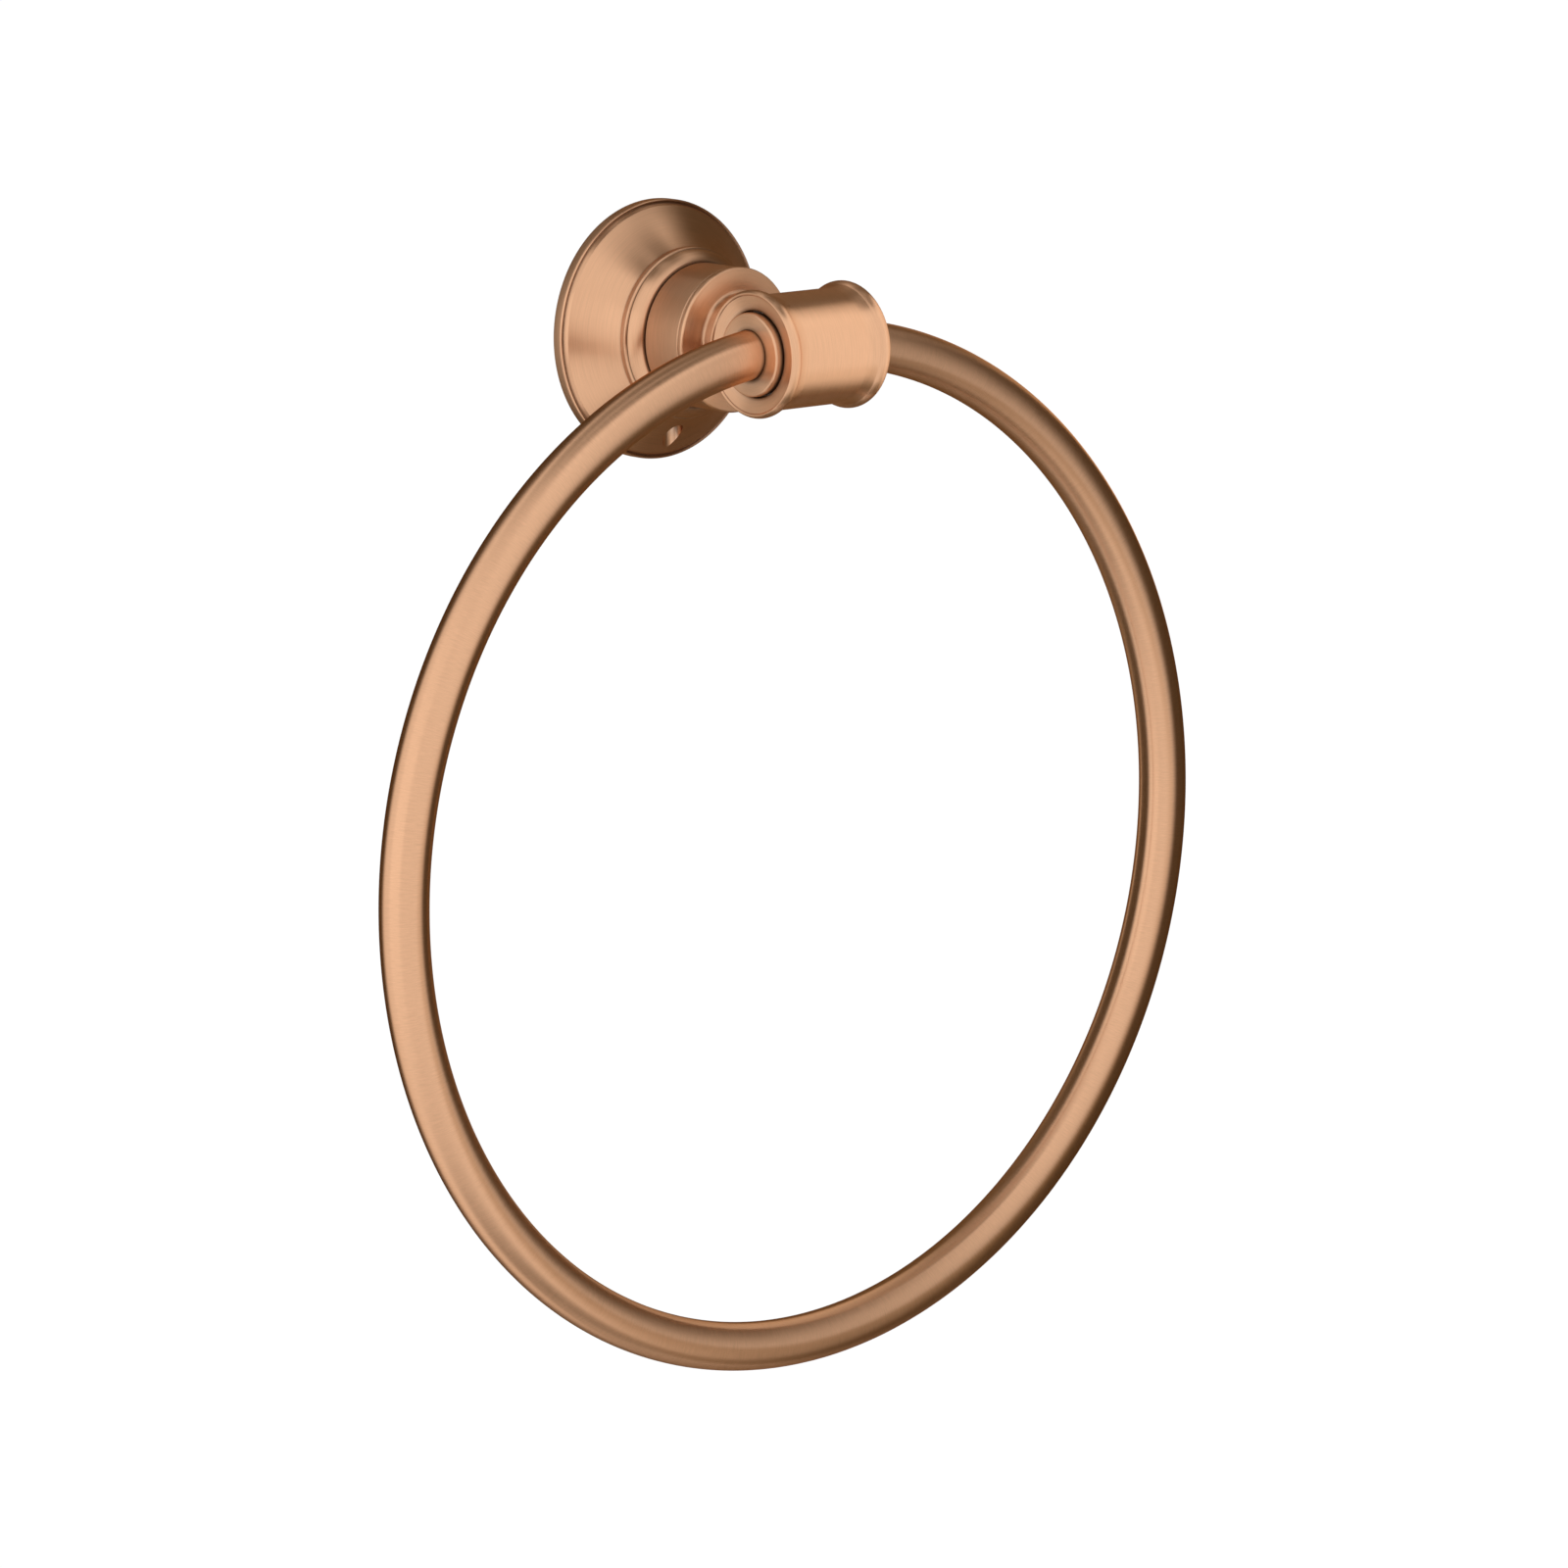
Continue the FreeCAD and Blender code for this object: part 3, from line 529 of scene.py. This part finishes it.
turned_piece("collar_and_neck", "collar", BASE, [
    (BOLT_HOLE, -COLLAR_SPIGOT),
    (SPIGOT_RADIUS - SPIGOT_BEVEL, -COLLAR_SPIGOT),
    (SPIGOT_RADIUS, -COLLAR_SPIGOT - SPIGOT_BEVEL),
    (SPIGOT_RADIUS, -POST_FRONT),
    (COLLAR_RADIUS - COLLAR_BEVEL, -POST_FRONT, 0.08),
    (COLLAR_RADIUS, -POST_FRONT - COLLAR_BEVEL, 0.08),
    (COLLAR_RADIUS, -COLLAR_EDGE, None, (COLLAR_ROUND, 1, 8)),
    (COLLAR_RADIUS - COLLAR_ROUND, -COLLAR_EDGE - COLLAR_ROUND, None, (COLLAR_DOME, 1, 10)),
    (NECK_RADIUS + NECK_FILLET, -NECK_START, None, (NECK_FILLET, -1, 12)),
    (NECK_RADIUS, -NECK_START - NECK_FILLET),
    (NECK_RADIUS, -NECK_END),
    (BOLT_HOLE, -NECK_END),
], "y", ORIGIN, shape=saddle)


# Barrel, turned about x. Corners are (radius, x), from the right seat of a sleeve's flange over the
# rim and the flare to the waist, and the same on the left.

def both_sides(half):
    """The corners of a half outline followed by their mirror images, with the arcs of the same legs."""
    corners = list(half)
    for n in range(len(half) - 1, -1, -1):
        corner = half[n]
        mirrored = [corner[0], -corner[1], corner[2] if len(corner) > 2 else None]
        if n > 0 and len(half[n - 1]) > 3:
            mirrored.append(half[n - 1][3])
        corners.append(tuple(mirrored))
    return corners


turned_piece("barrel_body", "barrel", BASE, both_sides([
    (SLEEVE_HOLE, SLEEVE_FLANGE_SEAT),
    (SLEEVE_FLANGE_HOLE, SLEEVE_FLANGE_SEAT),
    (SLEEVE_FLANGE_HOLE, MOUTH_AT, 0.15),
    (END_FACE_RADIUS, END_FACE_AT, 0.12, (0.5, 1, 6)),
    (END_RADIUS, BARREL_HALF, 0.1, (1.8, 1, 12)),
    (CREASE_RADIUS, CREASE_AT, 0.12, (FLARE_ROUND, -1, 10)),
    (WAIST_RADIUS, WAIST_HALF, 0.6),
]), "x", BARREL_PLACE)


# Ring: one bent tube, open inside the barrel, that hangs from the middles of the journals' faces

RING_RADIUS = 103.45
TUBE_RADIUS = 5.0
TUBE_INNER = 3.5
TUBE_END = 7.5
SHOULDER_FACE = 13.9
RING_DROP = math.sqrt(RING_RADIUS ** 2 - SHOULDER_FACE ** 2)


def bent_tube():
    """The open ring: an outer and an inner tube wall joined by flat ends."""
    half_gap = math.asin(TUBE_END / RING_RADIUS)
    sweep = 2 * math.pi - 2 * half_gap
    verts, faces, uvs = [], [], []
    for s in range(RING_STEPS + 1):
        turn_by = half_gap + sweep * s / RING_STEPS
        for radius in (TUBE_RADIUS, TUBE_INNER):
            for k in range(TUBE_SIDES):
                a = 2 * math.pi * k / TUBE_SIDES
                r = RING_RADIUS + radius * math.cos(a)
                verts.append((math.sin(turn_by) * r * MM, (-PROJECTION + radius * math.sin(a)) * MM,
                              (math.cos(turn_by) * r - RING_DROP) * MM))

    def band(first, second, va, vb, outwards):
        """The faces between two rounds of corners."""
        for k in range(TUBE_SIDES):
            m = (k + 1) % TUBE_SIDES
            ua, ub = k / TUBE_SIDES, (k + 1) / TUBE_SIDES
            if outwards:
                faces.append([first + k, first + m, second + m, second + k])
            else:
                faces.append([first + m, first + k, second + k, second + m])
                ua, ub = ub, ua
            uvs.extend([(ua, va), (ub, va), (ub, vb), (ua, vb)])

    length = sweep * RING_RADIUS * MM
    for s in range(RING_STEPS):
        va, vb = length * s / RING_STEPS, length * (s + 1) / RING_STEPS
        outer, inner = 2 * s * TUBE_SIDES, (2 * s + 1) * TUBE_SIDES
        band(outer, outer + 2 * TUBE_SIDES, va, vb, True)
        band(inner, inner + 2 * TUBE_SIDES, va, vb, False)
    wall = (TUBE_RADIUS - TUBE_INNER) * MM
    for s, outwards in ((0, False), (RING_STEPS, True)):
        band(2 * s * TUBE_SIDES, (2 * s + 1) * TUBE_SIDES, 0.0, wall, outwards)
    return side_out(verts, faces, uvs)


bronze_piece("ring_tube", "ring", SWING, *bent_tube(), sharp=50)


# Journals, turned about x: a sleeve on the tube with a shoulder that shows in the barrel's mouth

JOURNAL_BORE = 5.05
BORE_EDGE = 5.5
JOURNAL_RADIUS = 7.0
JOURNAL_START = 6.5
JOURNAL_BEVEL = 0.4
SHOULDER_RADIUS = 8.5
SHOULDER_BACK = 11.4
SHOULDER_ROUND = 0.5


def follow_tube(p):
    """Lifts the corners of the bore so that it follows the bent tube."""
    if math.hypot(p[1], p[2]) < BORE_EDGE:
        return [p[0], p[1], p[2] + math.sqrt(RING_RADIUS ** 2 - p[0] ** 2) - RING_DROP]
    return p


def journal_piece(name, node, side):
    """The journal on the right (1) or the left (-1)."""
    face = side * SHOULDER_FACE
    back = side * SHOULDER_BACK
    start = side * JOURNAL_START
    turned_piece(name, node, SWING, [
        (JOURNAL_BORE, start),
        (JOURNAL_RADIUS - JOURNAL_BEVEL, start, 0.1),
        (JOURNAL_RADIUS, start + side * JOURNAL_BEVEL, 0.1),
        (JOURNAL_RADIUS, back),
        (SHOULDER_RADIUS, back, 0.15),
        (SHOULDER_RADIUS, face - side * SHOULDER_ROUND, None, (SHOULDER_ROUND, -side, 6)),
        (SHOULDER_RADIUS - SHOULDER_ROUND, face, 0.05),
        (JOURNAL_BORE, face, 0.12),
    ], "x", BARREL_PLACE, shape=follow_tube)


journal_piece("right_journal_body", "right_journal", 1)
journal_piece("left_journal_body", "left_journal", -1)


# Pieces that the scene takes from the CAD as they are

def dress(nodes, material):
    """Gives the pieces of the CAD's nodes their material."""
    for node in nodes:
        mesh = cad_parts[node].data
        mesh.materials.clear()
        mesh.materials.append(material)


dress(("wall_plate", "flange_grub_screw", "tie_bolt", "tie_bolt_washer"), steel)
dress(("left_bearing_sleeve", "right_bearing_sleeve"), nylon)


# Studio. Directions are azimuths in degrees from the front towards the left, and elevations. Lengths
# are in metres.

STUDIO_CENTRE = Vector((0.0, -PROJECTION, -70.0)) * MM
BARREL_MIDDLE = Vector(BARREL_PLACE) * MM
BARREL_END = Vector((-BARREL_HALF, -PROJECTION, 0.0)) * MM
RING_FOOT = Vector((0.0, -PROJECTION, -206.0)) * MM
FLAG_BROWN = (1.0, 0.78, 0.50)
FLAG_STEPS = 16


def direction(azimuth, elevation):
    a, e = math.radians(azimuth), math.radians(elevation)
    return Vector((-math.sin(a) * math.cos(e), -math.cos(a) * math.cos(e), math.sin(e)))


def flag_material(name, level, soft):
    """One plain brown that fades out over the given shares of the card's width and height."""
    material = bpy.data.materials.new(name)
    material.use_nodes = True
    tree = material.node_tree
    tree.nodes.clear()
    out = tree.nodes.new("ShaderNodeOutputMaterial")
    mix = tree.nodes.new("ShaderNodeMixShader")
    clear = tree.nodes.new("ShaderNodeBsdfTransparent")
    glow = tree.nodes.new("ShaderNodeEmission")
    glow.inputs["Color"].default_value = (*FLAG_BROWN, 1.0)
    glow.inputs["Strength"].default_value = level
    covers = []
    for along, width in zip(map_place(tree, "across"), soft):
        near = math_on(tree, "MINIMUM", along, math_on(tree, "SUBTRACT", 1.0, along))
        fade = tree.nodes.new("ShaderNodeMapRange")
        fade.interpolation_type = "SMOOTHSTEP"
        fade.inputs["From Max"].default_value = width
        tree.links.new(near, fade.inputs["Value"])
        covers.append(fade.outputs[0])
    tree.links.new(math_on(tree, "MULTIPLY", *covers), mix.inputs[0])
    tree.links.new(clear.outputs[0], mix.inputs[1])
    tree.links.new(glow.outputs[0], mix.inputs[2])
    tree.links.new(mix.outputs[0], out.inputs[0])
    material.cycles.emission_sampling = "NONE"
    return material


def flag(name, distance, azimuths, elevations, level, soft):
    """A brown card on a ball around the studio's centre, seen only in the metal."""
    shares = [step / FLAG_STEPS for step in range(FLAG_STEPS + 1)]
    verts, faces, uvs = [], [], []
    for u in shares:
        for v in shares:
            azimuth = azimuths[0] + (azimuths[1] - azimuths[0]) * u
            elevation = elevations[0] + (elevations[1] - elevations[0]) * v
            verts.append(STUDIO_CENTRE + direction(azimuth, elevation) * distance)
    for i in range(FLAG_STEPS):
        for j in range(FLAG_STEPS):
            k = i * (FLAG_STEPS + 1) + j
            faces.append([k, k + 1, k + FLAG_STEPS + 2, k + FLAG_STEPS + 1])
            uvs += [(shares[i], shares[j]), (shares[i], shares[j + 1]),
                    (shares[i + 1], shares[j + 1]), (shares[i + 1], shares[j])]
    mesh = bpy.data.meshes.new(name)
    mesh.from_pydata(verts, [], faces)
    layer = mesh.uv_layers.new(name="across")
    layer.data.foreach_set("uv", [value for uv in uvs for value in uv])
    mesh.materials.append(flag_material(name, level, soft))
    obj = bpy.data.objects.new(name, mesh)
    bpy.context.scene.collection.objects.link(obj)
    obj.visible_camera = False
    obj.visible_diffuse = False
    obj.visible_shadow = False


flag("flag_behind", 0.50, (-178.0, -83.0), (-89.0, 73.0), 0.19, (0.12, 0.08))
flag("flag_right", 0.34, (-125.0, -21.0), (-85.0, 66.0), 0.10, (0.28, 0.14))
flag("flag_low_right", 0.36, (-100.0, 0.0), (-85.0, -15.0), 0.50, (0.20, 0.25))
flag("flag_left_behind", 0.23, (117.0, 205.0), (-89.0, 70.0), 0.10, (0.20, 0.10))
flag("flag_top", 0.50, (-180.0, 180.0), (61.0, 89.9), 0.10, (0.001, 0.35))
flag("flag_low", 0.50, (-60.0, 130.0), (-89.9, -52.0), 0.12, (0.2, 0.30))


def softbox(name, aim, azimuth, elevation, distance, size, level, pieces=()):
    """A rectangular lamp of one level, aimed at a point, that lights only the pieces if any are given."""
    lamp = bpy.data.lights.new(name, "AREA")
    lamp.shape = "RECTANGLE"
    lamp.size, lamp.size_y = size
    lamp.energy = math.pi * size[0] * size[1] * level
    obj = bpy.data.objects.new(name, lamp)
    bpy.context.scene.collection.objects.link(obj)
    obj.location = aim + direction(azimuth, elevation) * distance
    obj.rotation_mode = "QUATERNION"
    obj.rotation_quaternion = direction(azimuth, elevation).to_track_quat("Z", "Y")
    obj.visible_camera = False
    if pieces:
        lit = bpy.data.collections.new(name + "_lights")
        for piece in pieces:
            lit.objects.link(bpy.data.objects[piece])
        obj.light_linking.receiver_collection = lit


softbox("softbox_left", STUDIO_CENTRE, 85.0, 5.0, 2.0, (1.8, 1.8), 0.2)
softbox("softbox_barrel", BARREL_MIDDLE, -67.0, 2.0, 0.15, (0.215, 0.36), 1.0, ("barrel_body",))
softbox("softbox_disc", BARREL_MIDDLE, -70.0, 2.0, 0.15, (0.19, 0.30), 0.42, ("collar_and_neck",))
softbox("softbox_end", BARREL_END, 149.0, -3.0, 0.11, (0.09, 0.28), 0.45,
        ("barrel_body", "left_journal_body"))
softbox("softbox_low", RING_FOOT, -120.0, 41.0, 0.30, (0.16, 0.14), 0.9, ("ring_tube",))

ROOM_LEVEL = 0.85
WHITE_LEVEL = 1.0


def white_room():
    """White to the camera and in mirrors, a little less as light on matt surfaces."""
    world = bpy.data.worlds.new("studio")
    bpy.context.scene.world = world
    world.use_nodes = True
    tree = world.node_tree
    tree.nodes.clear()
    out = tree.nodes.new("ShaderNodeOutputWorld")
    mix = tree.nodes.new("ShaderNodeMixShader")
    path = tree.nodes.new("ShaderNodeLightPath")
    seen = math_on(tree, "MAXIMUM", path.outputs["Is Camera Ray"], path.outputs["Is Glossy Ray"])
    seen = math_on(tree, "MAXIMUM", seen, path.outputs["Is Transmission Ray"])
    tree.links.new(seen, mix.inputs[0])
    for socket, level in zip(mix.inputs[1:], (ROOM_LEVEL, WHITE_LEVEL)):
        room = tree.nodes.new("ShaderNodeBackground")
        room.inputs["Color"].default_value = (1.0, 1.0, 1.0, 1.0)
        room.inputs["Strength"].default_value = level
        tree.links.new(room.outputs[0], socket)
    tree.links.new(mix.outputs[0], out.inputs[0])


white_room()

FLOOR_HEIGHT = -0.34
FLOOR_HALF = 6.0
FLOOR_SHADES = (0.79, 0.81)
FLOOR_GLOW = 0.35


def floor():
    """A pale matt floor. To the camera it glows just enough to be white outside the shadow."""
    material, tree, shader = new_material("pale_floor")
    shader.inputs["Roughness"].default_value = 0.9
    shader.inputs["Specular IOR Level"].default_value = 0.0
    grain = tree.nodes.new("ShaderNodeTexNoise")
    grain.inputs["Scale"].default_value = 40.0
    tree.links.new(range_on(tree, grain.outputs["Fac"], *FLOOR_SHADES), shader.inputs["Base Color"])
    path = tree.nodes.new("ShaderNodeLightPath")
    shader.inputs["Emission Color"].default_value = (1.0, 1.0, 1.0, 1.0)
    tree.links.new(math_on(tree, "MULTIPLY", path.outputs["Is Camera Ray"], FLOOR_GLOW),
                   shader.inputs["Emission Strength"])
    mesh = bpy.data.meshes.new("floor")
    h, z = FLOOR_HALF, FLOOR_HEIGHT
    mesh.from_pydata([(-h, -h, z), (h, -h, z), (h, h, z), (-h, h, z)], [], [[0, 1, 2, 3]])
    mesh.materials.append(material)
    obj = bpy.data.objects.new("floor", mesh)
    bpy.context.scene.collection.objects.link(obj)
    obj.visible_glossy = False


floor()


# Camera, fitted to the photograph: its place, and the direction from the object back to it

CAMERA_PLACE = Vector((-990.29, -1157.88, 192.34)) * MM
CAMERA_BACK = Vector((-0.65190, -0.73519, 0.18581))
FOCAL_LENGTH = 170.65
SENSOR_WIDTH = 36.0

camera_data = bpy.data.cameras.new("camera")
camera_data.lens = FOCAL_LENGTH
camera_data.sensor_width = SENSOR_WIDTH
camera_data.clip_start = 0.1
camera_data.clip_end = 20.0
camera = bpy.data.objects.new("camera", camera_data)
bpy.context.scene.collection.objects.link(camera)
camera.location = CAMERA_PLACE
camera.rotation_mode = "QUATERNION"
camera.rotation_quaternion = (-CAMERA_BACK).to_track_quat("-Z", "Y")
bpy.context.scene.camera = camera

bpy.context.scene.view_settings.view_transform = "Standard"
